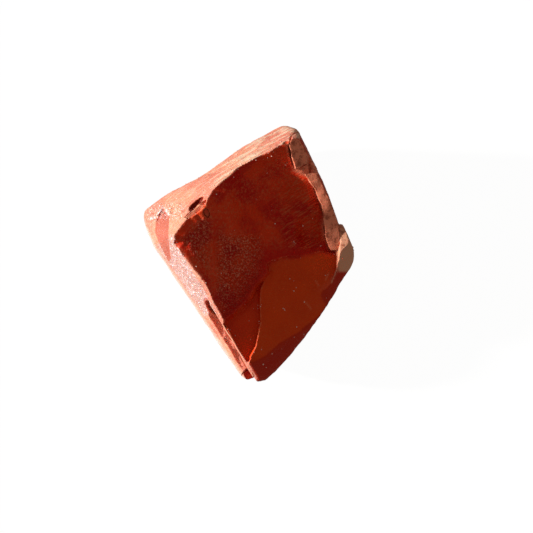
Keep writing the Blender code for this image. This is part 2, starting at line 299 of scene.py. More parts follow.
def makeBreak():  # the height of the broken face, and maps of how each part of it broke
    x, y = mapGrid()
    left = drawn(leftRim)
    waves = sum(high * valueNoise([x, y], long, 40 + i) for i, (long, high) in enumerate(lump["breakWaves"]))

    upper = planeHeight(x, y, *broken["upper"])
    upper = softMin(upper, hollow(x, y, *broken["scoop"]), 3.0)
    upper = softMin(upper, hollow(x, y, *broken["dimple"]), 1.6)
    upper = upper + waves
    upper = upper + crestFix(x, y, upper, left, 4.0)
    strip = planeHeight(x, y, *broken["strip"]) + 3 * np.clip(placed((0, 7.6, 0))[1] - y, 0, None)
    upper = softMin(upper, strip, 0.8)

    lower = planeHeight(x, y, *broken["lower"])
    lower = lower + 0.6 * waves + 0.4 * np.cos((x - 16) / 9) * np.cos((y + 12) / 12)
    lower = lower - 0.19 * (x - 6) * smooth(-10, -18, y)
    _, leftOfStep, _ = nearestOnLine(x, y, drawn(stepLine))
    gully = smooth(0.0, 0.7, -leftOfStep) * smooth(-4, -6.5, y)
    stepEdge = 0.35 * np.exp(-((leftOfStep / 0.5) ** 2)) * smooth(-4, -6.5, y)
    lower = lower - 1.5 * gully + stepEdge
    toSplit, _, _ = nearestOnLine(x, y, left[-9:])
    lower = np.maximum(lower, planeHeight(x, y, *broken["upper"]) - 0.5 - 3.5 * toSplit)

    outside = [(-14.0, -24.0), (-8.0, -46.0), (40.0, -46.0), (40.0, 1.2)]
    depth = insideOutline(x, y, np.vstack([drawn(troughLine), drawn(shelfLine), outside]))
    ragged = depth + 0.45 * valueNoise([x, y], 1.9, 7) + 0.2 * valueNoise([x, y], 0.7, 8)
    toShelf, _, _ = nearestOnLine(x, y, drawn(shelfLine))
    lower = lower - 1.1 * np.exp(-((toShelf / 1.8) ** 2))
    fall = upper - 3.4 * np.clip(ragged, 0, None)
    height = np.where(depth > 0, np.maximum(lower, fall), upper)

    _, rightward, _ = nearestOnLine(x, y, drawn(cornerLine))
    rightward = rightward + 0.3 * valueNoise([x, y], 1.6, 9)
    corner = planeHeight(x, y, *broken["corner"]) + 0.5 * waves
    corner = corner - broken["cornerFall"] * np.clip(y - placed((0, 7.0, 0))[1], 0, None)
    standing = np.maximum(height, corner - 2.5 * np.clip(-rightward, 0, None))
    height = np.where(y < placed((0, 9.5, 0))[1], standing, height)

    hackleZone = smooth(6, 13, x) * smooth(0.5, 3.5, y) * smooth(26, 20, y) * smooth(25, 22.5, x)
    height = height + broken["hackleHigh"] * hackleZone * hackle(x, y, *broken["hackle"])
    roughZone = smooth(-9, -12, x) * smooth(-7, -2, y) * smooth(15, 9, y)
    fromRim, _, _ = nearestOnLine(x, y, left)
    roughZone = roughZone * smooth(1.2, 4.0, fromRim)
    for long, share, seed in broken["roughWaves"]:
        height = height + share * roughZone * valueNoise([x, y], long, seed)
    furrow, _, _ = nearestOnLine(x, y, drawn(broken["furrow"]))
    ridge, _, _ = nearestOnLine(x, y, drawn(broken["ridge"]))
    height = height - 0.5 * np.exp(-((furrow / 0.7) ** 2)) + 0.45 * np.exp(-((ridge / 0.5) ** 2))
    scratch = sum(np.exp(-((segment(x, y, a, b) / 0.20) ** 2)) for a, b in scratches)
    nick = sum(np.exp(-((segment(x, y, a, b) / 0.25) ** 2)) for a, b in nicks)
    slot = sum(np.exp(-((segment(x, y, a, b) / 0.3) ** 2)) for a, b in slots)
    height = height + 0.18 * scratch - 0.3 * nick - 1.4 * slot

    _, fromHackle, _ = nearestOnLine(x, y, drawn(rightRim))
    fromHackle = fromHackle * np.where(y > placed((0, 1.2, 0))[1], -1, 0)
    fromTrough, _, _ = nearestOnLine(x, y, np.vstack([drawn(troughLine), drawn(shelfLine)]))
    grainZone = smooth(-10, -7, x) * smooth(6.5, 2, x) * smooth(8, 4, y) * smooth(0.0, -0.8, depth)
    height = height + broken["grainHigh"] * grainZone * valueNoise([x, y], 0.8, 17)
    smoothZone = smooth(0.2, 1.5, depth)
    return {
        "height": height,
        "hackle": hackleZone,
        "grain": np.clip(grainZone + 0.8 * roughZone, 0, 1),
        "smooth": smoothZone * (1 - 0.6 * gully),
        "gully": smoothZone * gully,
        "strip": smooth(-0.9, 0.3, -fromHackle) * smooth(1.2, 2.0, y),
        # painted shade along the trough and under the shelf
        "deep": np.exp(-((fromTrough / 4.5) ** 2)) * smooth(1.0, -0.5, depth),
        "corner": smooth(-1.3, -0.5, rightward) * smooth(9.8, 9.0, y),
        "scratch": np.clip(scratch + 0.5 * nick, 0, 1),
    }


breakMaps = makeBreak()
slopeX, slopeY = np.gradient(breakMaps["height"], mapStep)
breakMaps["lean"] = 1 / np.sqrt(1 + slopeX**2 + slopeY**2)
print("break: height map", breakMaps["height"].shape)


def breakField(p):
    return (p[2] - sampleAt(breakMaps["height"], p[0], p[1])) * sampleAt(breakMaps["lean"], p[0], p[1])


splitWay = 208.6
splitPoint = placed((-10.6, -13.2, 0))
splitFoot = placed((0, 0, 7))[2]
slabEnd = (118, 92, (-20.5, 5.6, 20.0))
groove = {
    "floor": (-62, 22, (-7.0, -24.0, 18.2)),
    "leftWall": (206, 98, (-9.0, -21.8, 21.0)),
    "farWall": (118.6, 118, (-11.2, -15.0, 27.0)),
}
groovePocket = ((-10.3, -15.6, 26.5), (1.3, 3.2, 6.0), 28)
fin = {"along": (0.6, 26.2), "thick": 0.55, "tops": (31.4, 20.8), "depth": 8.0}
tipCrack = (-48, 80, (-1.6, -34.4, 17.0))
tipFace = (-52, 40, (-3.0, -33.6, 13.2))
notch = ((-14.6, 14.9, 38.2), (3.3, 1.0, 4.2), 41)
tipBite = ((4.3, -39.0, 15.0), (1.7, 1.7, 4.0), 0)

flakes = {
    "corner_chip": {
        "outline": [
            (12.2, 31.6), (13.2, 34.6), (15.6, 36.6), (17.6, 33.0), (17.4, 26.4), (14.0, 25.2), (13.0, 28.4),
        ],
        "floor": 29.6,
        "top": (-20, 22, (14.8, 30.0, 34.6)),
        "hair": 0.03,
        "dull": 1.0,
    },
    "rim_flake": {
        "outline": [
            (16.9, 23.4), (20.9, 23.8), (23.2, 18.6), (25.2, 13.4), (26.9, 8.4), (27.4, 3.6), (26.4, 1.6),
            (24.6, 1.8), (23.4, 4.6), (22.6, 8.2), (22.3, 12.6), (20.9, 16.4), (19.0, 20.4),
        ],
        "floor": 22.0,
        "top": (-64, 17, (21.2, 15.6, 29.6)),
        "hair": -0.02,
        "dull": 1.0,
    },
    "notch_shard": {
        "outline": [
            (-17.4, 11.0), (-15.6, 12.7), (-13.7, 14.3), (-12.2, 15.6), (-11.0, 16.0), (-11.9, 13.9),
            (-13.4, 12.7), (-15.0, 11.4), (-16.6, 10.2),
        ],
        "floor": 34.2,
        "top": (-60, 8, (-14.0, 13.2, 37.8)),
        "hair": 0.05,
        "dull": 0.4,
    },
    "wall_tongue": {
        "outline": [
            (-12.0, 12.6), (-11.7, 13.2), (-10.9, 13.0), (-10.5, 11.6), (-11.0, 10.9), (-11.8, 11.4),
        ],
        "floor": 34.6,
        "top": (-60, 30, (-11.2, 12.2, 38.4)),
        "hair": 0.08,
        "dull": 0.2,
    },
}


def beyond(p, way, steepness, point):  # how far past a plane
    n, c = direction(way, steepness), placed(point)
    return n[0] * (p[0] - c[0]) + n[1] * (p[1] - c[1]) + n[2] * (p[2] - c[2])


def ballField(p, centre, radii, turn):
    c = placed(centre)
    turn = math.radians(turn)
    u = (p[0] - c[0]) * math.cos(turn) + (p[1] - c[1]) * math.sin(turn)
    v = (p[1] - c[1]) * math.cos(turn) - (p[0] - c[0]) * math.sin(turn)
    w = p[2] - c[2]
    return (np.sqrt((u / radii[0]) ** 2 + (v / radii[1]) ** 2 + (w / radii[2]) ** 2) - 1) * min(radii)


def splitSide(p):  # depth on the slab's side of the split, which isn't quite flat
    n = direction(splitWay, 90)
    depth = n[0] * (p[0] - splitPoint[0]) + n[1] * (p[1] - splitPoint[1])
    return depth + 0.22 * valueNoise(p, 4.0, 60)


def alongSplit(p):
    n = direction(splitWay, 90)
    return -n[1] * (p[0] - splitPoint[0]) + n[0] * (p[1] - splitPoint[1])


def slabIn(p):
    end = -beyond(p, *slabEnd) + 0.3 * valueNoise(p, 3.0, 61)
    return np.minimum(np.minimum(splitSide(p), end), p[2] - splitFoot)


def finIn(p, margin=0.0):
    along = alongSplit(p)
    across = splitSide(p)
    foot = placed((0, 0, min(fin["tops"]) - fin["depth"]))[2]
    inside = np.minimum(across + margin, fin["thick"] + margin - across)
    inside = np.minimum(inside, np.minimum(along - fin["along"][0], fin["along"][1] - along) + margin)
    return np.minimum(inside, p[2] - foot + margin)


flakeMaps = {name: insideOutline(*mapGrid(), drawn(flake["outline"])) for name, flake in flakes.items()}


def flakeIn(p, name):
    edge = sampleAt(flakeMaps[name], p[0], p[1])
    edge = edge + 0.35 * valueNoise(p, 2.2, 70) + 0.12 * valueNoise(p, 0.8, 71)
    return np.minimum(edge, p[2] - placed((0, 0, flakes[name]["floor"]))[2])


farStrip = (116.8, 65.7, (3.3, 28.2, 36.7))
slabSide = (219.1, 68.6, (-10.5, -14.2, 30.0))
outerSide = (211.4, 96, (-19.0, -11.7, 15.0))


flatOutline = [  # the facet that was scraped flat near the left corner
    (-26.3, 11.2), (-24.8, 14.2), (-23.8, 13.5), (-22.4, 11.6), (-22.3, -0.8), (-23.3, -1.6), (-26.8, 6.2),
]
flatMap = insideOutline(*mapGrid(), drawn(flatOutline))
crease = ((-26.3, 10.8), (-26.8, 7.0))
jagged = [(-29.2, 11.0), (-26.6, 11.6), (-25.6, 13.2), (-24.8, 14.6), (-23.8, 13.7), (-22.6, 11.6)]


def zones(p):  # where the outer skin is pitted, crumbled, scraped flat or streaked
    along = alongSplit(p)
    onSlab = smooth(-0.4, 0.6, splitSide(p) - 0.0)
    pitted = onSlab * smooth(-23, -20.5, along) * smooth(4.5, 2.0, along)
    pitted = pitted * smooth(-1.4, -3.0, beyond(p, *outerSide))
    flat = smooth(-0.15, 0.15, sampleAt(flatMap, p[0], p[1]))
    crumbled = smooth(-31.0, -28.0, p[0]) * smooth(-17.0, -19.5, p[0])
    crumbled = crumbled * smooth(9.8, 11.6, p[1]) * smooth(16.5, 14.4, p[1])
    streaked = smooth(-1.6, -0.5, beyond(p, *farStrip)) * smooth(-16.0, -10.0, p[0])
    border = smooth(-2.2, -0.9, beyond(p, *outerSide)) * smooth(12.0, 8.0, p[1])
    dent = np.exp(-((segment(p[0], p[1], *crease) / 0.35) ** 2))
    toJagged, _, _ = nearestOnLine(p[0], p[1], drawn(jagged))
    # the jagged torn edge: a slightly raised line, painted white in the material as a highlight
    torn = np.exp(-((toJagged / 0.3) ** 2)) * smooth(-0.3, 0.3, valueNoise(p, 0.9, 31))
    found = {"pitted": pitted * (1 - flat), "flat": flat, "crumbled": crumbled, "streaked": streaked}
    return {**found, "border": border, "crease": dent, "torn": torn}


def skinDetail(p):
    at = zones(p)
    waves = sum(high * valueNoise(p, long, 20 + i) for i, (long, high) in enumerate(lump["skinWaves"]))
    long, high = lump["skinPits"]
    pits = high * np.minimum(valueNoise(p, long, 25), 0.2)
    deepPits = 0.20 * at["pitted"] * np.clip(valueNoise(p, 1.5, 26) - 0.15, 0, 0.5) + 0.2 * at["crease"]
    sideX, sideY, _ = placed((-13, 24, 0))
    hollowSide = 1.3 * np.exp(-(((p[0] - sideX) ** 2 + (p[1] - sideY) ** 2) / 90))
    crumbs = at["crumbled"] * (0.30 * valueNoise(p, 1.3, 27) + 0.14 * valueNoise(p, 0.7, 28))
    turned = [p[0] * 0.8387 + p[1] * 0.5446, p[1] * 0.8387 - p[0] * 0.5446]
    streaks = 0.09 * at["streaked"] * valueNoise([turned[0] / 5, turned[1]], 0.9, 29)
    facetCut = 0.2 * at["flat"] - 0.25 * at["torn"]
    return (waves + pits) * (1 - 0.75 * at["flat"]) + deepPits + crumbs + streaks + hollowSide + facetCut


def bites():  # small chips knocked out along the lit crest: centres and sizes
    rng = np.random.default_rng(5)
    line = drawn(leftRim[:30])
    found = []
    for _ in range(lump["chips"]):
        at = rng.uniform(0, len(line) - 1.01)
        i = int(at)
        x, y = line[i] + (line[i + 1] - line[i]) * (at - i)
        size = rng.uniform(0.35, 1.1)
        z = float(skinHeight(np.array([x]), np.array([y]))[0])
        found.append((x + rng.normal(0, 0.4), y + rng.normal(0, 0.4), z + 0.45 * size, size))
    return found


crestBites = bites()


def bitten(p, f):
    for x, y, z, size in crestBites:
        near = (np.abs(p[0] - x) < size * 2) & (np.abs(p[1] - y) < size * 2) & (np.abs(p[2] - z) < size * 2)
        if near.any():
            d = np.sqrt((p[0][near] - x) ** 2 + (p[1][near] - y) ** 2 + 1.4 * (p[2][near] - z) ** 2)
            f[near] = np.maximum(f[near], size - d)
    return f


def coreField(p):
    f = np.maximum(skinField(p) + skinDetail(p), breakField(p))
    f = bitten(p, f)
    f = np.maximum(f, slabIn(p) + lump["closed"])
    for name in flakes:
        f = np.maximum(f, flakeIn(p, name) + flakes[name]["hair"])
    f = np.maximum(f, -ballField(p, *notch) + 0.1 * valueNoise(p, 1.2, 62))
    return np.maximum(f, -ballField(p, *tipBite))


def grooveIn(p):
    ramp = 0.55 * (splitSide(p) - 2.0)  # the floor climbs towards the fin
    floor = beyond(p, *groove["floor"]) + 0.5 * ramp
    floor = floor + 0.42 * valueNoise(p, 2.2, 63) + 0.2 * valueNoise(p, 0.9, 64)
    inside = np.minimum(floor, -beyond(p, *groove["leftWall"]) + 0.3 * valueNoise(p, 2.5, 65))
    inside = np.minimum(inside, -beyond(p, *groove["farWall"]) + 0.3 * valueNoise(p, 1.5, 66))
    return np.maximum(inside, -ballField(p, *groovePocket))


def slabField(p):
    f = np.maximum(skinField(p) + skinDetail(p), breakField(p))
    f = bitten(p, f)
    f = np.maximum(f, lump["closed"] - slabIn(p))
    f = np.maximum(f, grooveIn(p))
    f = np.maximum(f, finIn(p, lump["hair"]))
    return np.maximum(f, beyond(p, *tipCrack) + lump["hair"])


def blockField(p):
    f = np.maximum(skinField(p) + skinDetail(p), lump["closed"] - slabIn(p))
    f = np.maximum(f, lump["hair"] - beyond(p, *tipCrack))
    f = np.maximum(f, beyond(p, *tipFace) + 0.2 * valueNoise(p, 1.8, 66))
    return np.maximum(f, finIn(p, lump["hair"]))


def finField(p):
    along = alongSplit(p)
    top = np.interp(along, fin["along"], [placed((0, 0, z))[2] for z in fin["tops"]])
    f = np.maximum(skinField(p), -finIn(p))
    return np.maximum(f, p[2] - top - 0.35 * valueNoise([along, along], 1.7, 67))


def flakeField(name):
    way, steepness, point = flakes[name]["top"]

    def field(p):
        f = np.maximum(skinField(p) + skinDetail(p), flakes[name]["hair"] - flakeIn(p, name))
        coarseness = 2.2 if name == "corner_chip" else 1.0
        rough = 0.14 * coarseness * valueNoise([p[0], p[1] / 3], 1.6, 68)
        rough = rough + 0.05 * coarseness * valueNoise(p, 0.8, 69)
        return np.maximum(f, beyond(p, way, steepness, point) + rough)

    return field


def gradientAt(field, p, h=0.06):
    slopes = []
    for axis in range(3):
        up = [a + h if i == axis else a for i, a in enumerate(p)]
        down = [a - h if i == axis else a for i, a in enumerate(p)]
        slopes.append((field(up) - field(down)) / (2 * h))
    return np.array(slopes)


def meshOf(name, field, low, high, step):  # the surface where the field is zero, as a mesh in metres
    low = np.asarray(low, float) - 3 * step
    count = ((np.asarray(high) + 3 * step - low) / step).astype(int) + 1
    axes = [low[i] + np.arange(count[i]) * step for i in range(3)]
    values = np.empty(count, np.float32)
    flatX, flatY = np.meshgrid(axes[0], axes[1], indexing="ij")
    for k, z in enumerate(axes[2]):
        values[:, :, k] = field([flatX, flatY, np.full(flatX.shape, z)])
    grid = openvdb.FloatGrid(3.0)
    grid.copyFromArray(np.clip(values, -3, 3))
    points, quads = grid.convertToQuads(0.0)
    points = points.astype(float) * step + low
    for _ in range(2):
        p = list(points.T)
        slope = gradientAt(field, p)
        move = np.clip(field(p) / np.maximum((slope**2).sum(0), 0.25), -0.5 * step, 0.5 * step)
        points = points - (slope * move).T
    mesh = bpy.data.meshes.new(name)
    mesh.from_pydata((points * mm).tolist(), [], quads[:, ::-1].tolist())
    a, b, c = (points[quads[:, i]] for i in (2, 1, 0))
    if np.einsum("ij,ij->i", a, np.cross(b, c)).sum() < 0:
        mesh.flip_normals()
    mesh.validate()
    mesh.shade_smooth()
    return mesh, points


grit = {
    "spots": [  # places where crumbs gather, with how far they spread, mm
        (7.0, 13.9, 0.8), (2.5, 16.9, 0.4), (10.3, 16.3, 0.4), (13.9, -9.7, 0.4), (10.5, -16.0, 0.5),
        (7.6, -15.7, 0.4), (3.4, -14.5, 0.6), (3.4, -20.2, 0.4), (3.7, -27.4, 0.5), (0.2, -19.3, 0.4),
        (11.8, 26.2, 0.5), (13.9, 3.7, 0.5), (-5.8, 8.2, 0.4), (-4.0, 7.3, 0.4), (16.9, -13.3, 0.6),
        (23.8, -6.0, 0.6),
    ],
    "smallest": 0.10,  # mm across
    "largest": 0.65,
    "dark": "#D8785A",
    "pale": "#FFF1E6",
    "density": 2.4,  # specks per square millimetre where the grit is thickest
    "seed": 4,
}


def gritAt(p, skin, at):
    spots = sum(np.exp(-((p[0] - x) ** 2 + (p[1] - y) ** 2) / r**2) for x, y, r in grit["spots"])
    rim, _, _ = nearestOnLine(p[0], p[1], drawn(leftRim[:30]))
    groovePart = smooth(0.5, 1.5, alongSplit(p)) * smooth(26, 24, alongSplit(p))
    groovePart = groovePart * smooth(4.2, 3.2, splitSide(p))
    inGroove = groovePart * smooth(0.9, 1.4, splitSide(p)) * (1 - skin)
    dusty = 0.5 * at["crumbled"] + 0.25 * inGroove + 0.02 * skin + 0.006
    return (0.8 * spots + dusty + 0.12 * np.exp(-((rim / 1.0) ** 2))) * smooth(14, 18, p[2])


def bulgeOf(mesh, points):  # how far each point stands out from its neighbours
    normal = np.empty(len(points) * 3, np.float32)
    mesh.vertices.foreach_get("normal", normal)
    edges = np.empty(len(mesh.edges) * 2, np.int32)
    mesh.edges.foreach_get("vertices", edges)
    edges = edges.reshape(-1, 2)
    total, count = np.zeros((len(points), 3)), np.zeros(len(points))
    for a, b in (edges.T, edges.T[::-1]):
        np.add.at(total, a, points[b])
        np.add.at(count, a, 1)
    return -np.einsum("ij,ij->i", total / np.maximum(count, 1)[:, None] - points, normal.reshape(-1, 3))


def addMaps(mesh, points, node, step):  # point attributes that the material and the grit read
    p = list(points.T)
    at = zones(p)
    onSkin = smooth(-0.35, -0.05, skinField(p) + skinDetail(p))
    groovePart = 0 * onSkin
    if node == "side_slab":
        groovePart = smooth(-0.5, -0.1, grooveIn(p)) * smooth(4.6, 3.4, splitSide(p))
    values = {name: value * onSkin for name, value in at.items()}
    normal = np.empty(len(points) * 3, np.float32)
    mesh.vertices.foreach_get("normal", normal)
    # painted shade: skin that faces the lower right, away from the sun, loses its skin colour and is painted
    # dark red instead
    facing = normal.reshape(-1, 3) @ direction(-37, 90)
    shaded = smooth(0.12, 0.30, facing)
    values["skin"] = onSkin * (1 - groovePart) * (1 - shaded)
    atCorner = smooth(26.6, 27.4, p[0]) * smooth(-5.2, -4.0, p[1]) * smooth(18, 21, p[2])
    values["outer"] = onSkin * shaded * (1 - atCorner)
    values["peach"] = onSkin * shaded * atCorner + (node == "notch_shard") * (1 - onSkin)
    # painted highlight: orange along the break's edge beside the skin, only where it doesn't face away from
    # the sun
    values["rim"] = smooth(-1.2, -0.3, skinField(p)) * (1 - onSkin) * smooth(0.4, 0.1, facing)
    # painted shade inside the notch pit, whose far wall the sun lights
    values["pit"] = smooth(0.6, 0.2, np.abs(ballField(p, *notch))) * (1 - onSkin)
    onBreak = smooth(0.8, 0.2, np.abs(breakField(p))) * (1 - 0.999 * (node in ("groove_fin", "tip_block")))
    for name in ("hackle", "grain", "smooth", "gully", "corner", "scratch", "strip", "deep"):
        values[name] = sampleAt(breakMaps[name], p[0], p[1]) * onBreak
    values["groove"] = groovePart
    values["dull"] = flakes[node]["dull"] * (1 - onSkin) if node in flakes else 0 * onSkin
    values["fin"] = 0 * onSkin + (node == "groove_fin")
    values["bulge"] = bulgeOf(mesh, points) / step
    values["grit"] = gritAt(p, onSkin, at)
    for name, value in values.items():
        attribute = mesh.attributes.new(name, "FLOAT", "POINT")
        attribute.data.foreach_set("value", np.asarray(value, np.float32))


def nodeBox(node):
    low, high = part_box(node)
    return np.array(low) / mm, np.array(high) / mm


def makePiece(name, node, field, step, material):
    low, high = nodeBox(node)
    mesh, points = meshOf(name, field, low - 1, high + 1, step)
    addMaps(mesh, points, node, step)
    mesh.materials.append(material)
    piece = bpy.data.objects.new(name, mesh)
    bpy.context.scene.collection.objects.link(piece)
    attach(piece, "root")
    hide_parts(node)
    print(f"{name}: {len(mesh.polygons) * 2} triangles")
    return piece


def colour(hexCode):  # from sRGB hex to linear red, green, blue, alpha
    parts = [int(hexCode[i : i + 2], 16) / 255 for i in (1, 3, 5)]
    return (*[c / 12.92 if c <= 0.04045 else ((c + 0.055) / 1.055) ** 2.4 for c in parts], 1.0)


def add(tree, kind, settings=None, links=None):  # a node, its settings, and what its inputs are given
    node = tree.nodes.new(kind)
    for key, value in (settings or {}).items():
        setattr(node, key, value)
    for key, value in (links or {}).items():
        if isinstance(value, bpy.types.NodeSocket):
            tree.links.new(value, node.inputs[key])
        else:
            node.inputs[key].default_value = value
    return node


clay = {
    "skinPeach": "#E3977A",
    "skinPale": "#E8C9AE",
    "skinSalmon": "#DC826C",
    "facetSalmon": "#C56C5A",
    "skinPitted": "#D9A79F",
    # painted shade for hollows and the crease on the skin
    "skinHollowShade": "#B9543E",
    # white for painted highlights
    "glint": "#FFFFFF",
    "dullStrip": "#F08C6C",
    "cornerPeach": "#DFA080",
    "breakRed": "#DE3606",
    "breakDark": "#BE0A00",
    "breakWarm": "#DE4604",
    "breakBrown": "#D05A34",
    # painted shade for skin sides that face away from the sun
    "shadedSideRed": "#BA260A",
    "grooveRose": "#E58A76",
    "rimHighlight": "#D8563A",
    "grainPink": "#EC8C6C",
    "stain": "#8A3822",
    "borderPink": "#EBC6BA",
    # painted shade inside the notch pit
    "pitShadeBrown": "#7A1C0C",
    # painted highlight for crests and scratch lines
    "edgeHighlight": "#E87850",
    "skinRoughness": (0.62, 0.85),
    "pittedRoughness": 0.42,
    "breakRoughness": (0.32, 0.58),
    "ior": 1.48,
    "sheen": 0.14,
    "scatter": 0.12,
    "scatterMm": 0.9,
}


def clayMaterial():  # waxy detailing clay: dusty peach where handled, deep wet red where it snapped
    material = bpy.data.materials.new("waxy detailing clay, snapped and handled")
    material.use_nodes = True
    tree = material.node_tree
    shader = tree.nodes["Principled BSDF"]
    place = add(tree, "ShaderNodeTexCoord").outputs["Object"]

    def attribute(name):
        return add(tree, "ShaderNodeAttribute", {"attribute_name": name}).outputs["Fac"]

    def noise(scaleMm, detail, rough=0.5, stretched=None):
        vector = place
        if stretched:
            turned = {"vector_type": "TEXTURE"}  # turns first, then stretches
            vector = add(tree, "ShaderNodeMapping", turned, {"Vector": place, **stretched}).outputs["Vector"]
        inputs = {"Vector": vector, "Scale": 1000 / scaleMm, "Detail": detail, "Roughness": rough}
        return add(tree, "ShaderNodeTexNoise", None, inputs).outputs["Fac"]

    def spread(value, low, high, toLow=0.0, toHigh=1.0):
        soft = {"interpolation_type": "SMOOTHSTEP"}
        inputs = {"Value": value, "From Min": low, "From Max": high, "To Min": toLow, "To Max": toHigh}
        return add(tree, "ShaderNodeMapRange", soft, inputs).outputs["Result"]

    def times(a, b, operation="MULTIPLY"):
        return add(tree, "ShaderNodeMath", {"operation": operation}, {0: a, 1: b}).outputs[0]

    def mix(factor, a, b):
        return add(tree, "ShaderNodeMix", {"data_type": "RGBA"}, {0: factor, 6: a, 7: b}).outputs[2]

    names = "skin grain bulge smooth gully pitted flat crumbled streaked border crease torn hackle"
    names += " corner scratch strip deep groove dull fin outer rim pit peach"
    at = {name: attribute(name) for name in names.split()}

    alongTop = {"Rotation": (0, 0, math.radians(31)), "Scale": (9.0, 0.8, 1.0)}
    streaks = noise(1.0, 3, 0.6, alongTop)
    blotches = noise(6.0, 5, 0.65)
    dust = noise(0.9, 4, 0.7)
    speck = noise(0.42, 1, 0.5)
    drift = noise(16.0, 2)
    skinColour = mix(spread(drift, 0.42, 0.6), colour(clay["skinPeach"]), colour(clay["skinSalmon"]))
    streakShare = times(spread(streaks, 0.47, 0.62, 0, 0.9), spread(at["streaked"], 0, 1, 0.35, 1.0))
    skinColour = mix(streakShare, skinColour, colour(clay["skinPale"]))
    skinColour = mix(spread(blotches, 0.56, 0.74, 0, 0.35), skinColour, colour(clay["skinSalmon"]))
    skinColour = mix(times(at["pitted"], 0.9), skinColour, colour(clay["skinPitted"]))
    pitShare = times(spread(noise(0.9, 3, 0.6), 0.54, 0.64, 0, 0.45), at["pitted"])
    skinColour = mix(pitShare, skinColour, colour(clay["skinSalmon"]))
    # painted highlights: white flecks on the pitted skin
    pittedGlintShare = times(spread(noise(0.6, 2, 0.6), 0.56, 0.64, 0, 0.9), at["pitted"])
    skinColour = mix(pittedGlintShare, skinColour, colour(clay["glint"]))
    skinColour = mix(at["flat"], skinColour, colour(clay["facetSalmon"]))
    skinColour = mix(times(at["border"], 0.8), skinColour, colour(clay["borderPink"]))
    # painted highlights: white glints on the crumbled corner
    glintShare = times(spread(speck, 0.60, 0.68), spread(at["crumbled"], 0, 1, 0.12, 1.0))
    skinColour = mix(glintShare, skinColour, colour(clay["glint"]))
    # painted highlight: white along the jagged torn edge
    skinColour = mix(times(at["torn"], 0.9), skinColour, colour(clay["glint"]))
    skinColour = mix(spread(dust, 0.56, 0.72, 0, 0.3), skinColour, colour(clay["skinPale"]))
    # painted shade: skin darkened in concave hollows and along the crease, which is also dented in the shape
    skinColour = mix(spread(at["bulge"], -0.08, -0.3, 0, 0.5), skinColour, colour(clay["skinHollowShade"]))
    skinColour = mix(times(at["crease"], 0.75), skinColour, colour(clay["skinHollowShade"]))

    breakColour = mix(spread(noise(8.0, 3), 0.36, 0.6), colour(clay["breakDark"]), colour(clay["breakRed"]))
    patches = spread(noise(0.8, 4, 0.8), 0.46, 0.64, 0, 0.85)
    mottle = times(patches, spread(noise(11.0, 2), 0.38, 0.58, 0.35, 1.0))
    breakColour = mix(mottle, breakColour, colour(clay["breakBrown"]))
    breakColour = mix(spread(noise(1.3, 3, 0.7), 0.56, 0.70, 0, 0.5), breakColour, colour(clay["breakDark"]))
    breakColour = mix(times(at["smooth"], 0.75), breakColour, colour(clay["breakWarm"]))
    grainShare = times(spread(noise(0.5, 2, 0.6), 0.50, 0.66, 0, 0.8), at["grain"])
    breakColour = mix(grainShare, breakColour, colour(clay["grainPink"]))
    # painted shade: darker red along the trough and under the shelf
    breakColour = mix(times(at["deep"], 0.85), breakColour, colour(clay["breakDark"]))
    alongHackle = {"Rotation": (0, 0, math.radians(30)), "Scale": (6.0, 0.7, 2.0)}
    # painted highlight: paler lines along the hackle ridges where they would catch the light
    hackleHighlights = spread(noise(0.6, 2, 0.5, alongHackle), 0.52, 0.64, 0, 0.75)
    breakColour = mix(times(hackleHighlights, at["hackle"]), breakColour, colour(clay["breakBrown"]))
    # painted highlight: orange line along the break's rim
    breakColour = mix(times(at["rim"], 0.8), breakColour, colour(clay["rimHighlight"]))
    breakColour = mix(times(at["gully"], 0.6), breakColour, colour(clay["breakRed"]))
    # painted shade: dark red on skin that faces away from the sun
    breakColour = mix(times(at["outer"], 0.9), breakColour, colour(clay["shadedSideRed"]))
    # painted highlight: pale orange on convex crests and edges of the break
    breakColour = mix(times(spread(at["bulge"], 0.08, 0.32), 0.65), breakColour, colour(clay["edgeHighlight"]))
    breakColour = mix(times(at["strip"], 0.9), breakColour, colour(clay["dullStrip"]))
    breakColour = mix(times(at["corner"], 0.95), breakColour, colour(clay["cornerPeach"]))
    breakColour = mix(at["dull"], breakColour, colour(clay["dullStrip"]))
    stain = times(spread(noise(1.6, 5, 0.75), 0.46, 0.64, 0, 0.7), times(at["dull"], at["strip"], "MAXIMUM"))
    breakColour = mix(stain, breakColour, colour(clay["stain"]))
    breakColour = mix(times(at["groove"], 0.9), breakColour, colour(clay["grooveRose"]))
    breakColour = mix(times(at["fin"], 0.8), breakColour, colour(clay["cornerPeach"]))
    # scratch lines, raised in the height map, also painted in the highlight orange
    breakColour = mix(times(at["scratch"], 0.6), breakColour, colour(clay["edgeHighlight"]))
    # painted shade: the notch pit painted dark brown
    breakColour = mix(at["pit"], breakColour, colour(clay["pitShadeBrown"]))
    breakColour = mix(at["peach"], breakColour, colour(clay["cornerPeach"]))
    tree.links.new(mix(at["skin"], breakColour, skinColour), shader.inputs["Base Color"])

    skinRough = spread(dust, 0.3, 0.7, *clay["skinRoughness"])
    plain = {"data_type": "FLOAT"}
    pittedRough = {0: at["pitted"], 2: skinRough, 3: clay["pittedRoughness"]}
    skinRough = add(tree, "ShaderNodeMix", plain, pittedRough).outputs[0]
    lowest, highest = clay["breakRoughness"]
    breakRough = spread(noise(0.8, 3), 0.3, 0.7, lowest, highest)
    roughness = add(tree, "ShaderNodeMix", plain, {0: at["skin"], 2: breakRough, 3: skinRough})
    tree.links.new(roughness.outputs[0], shader.inputs["Roughness"])

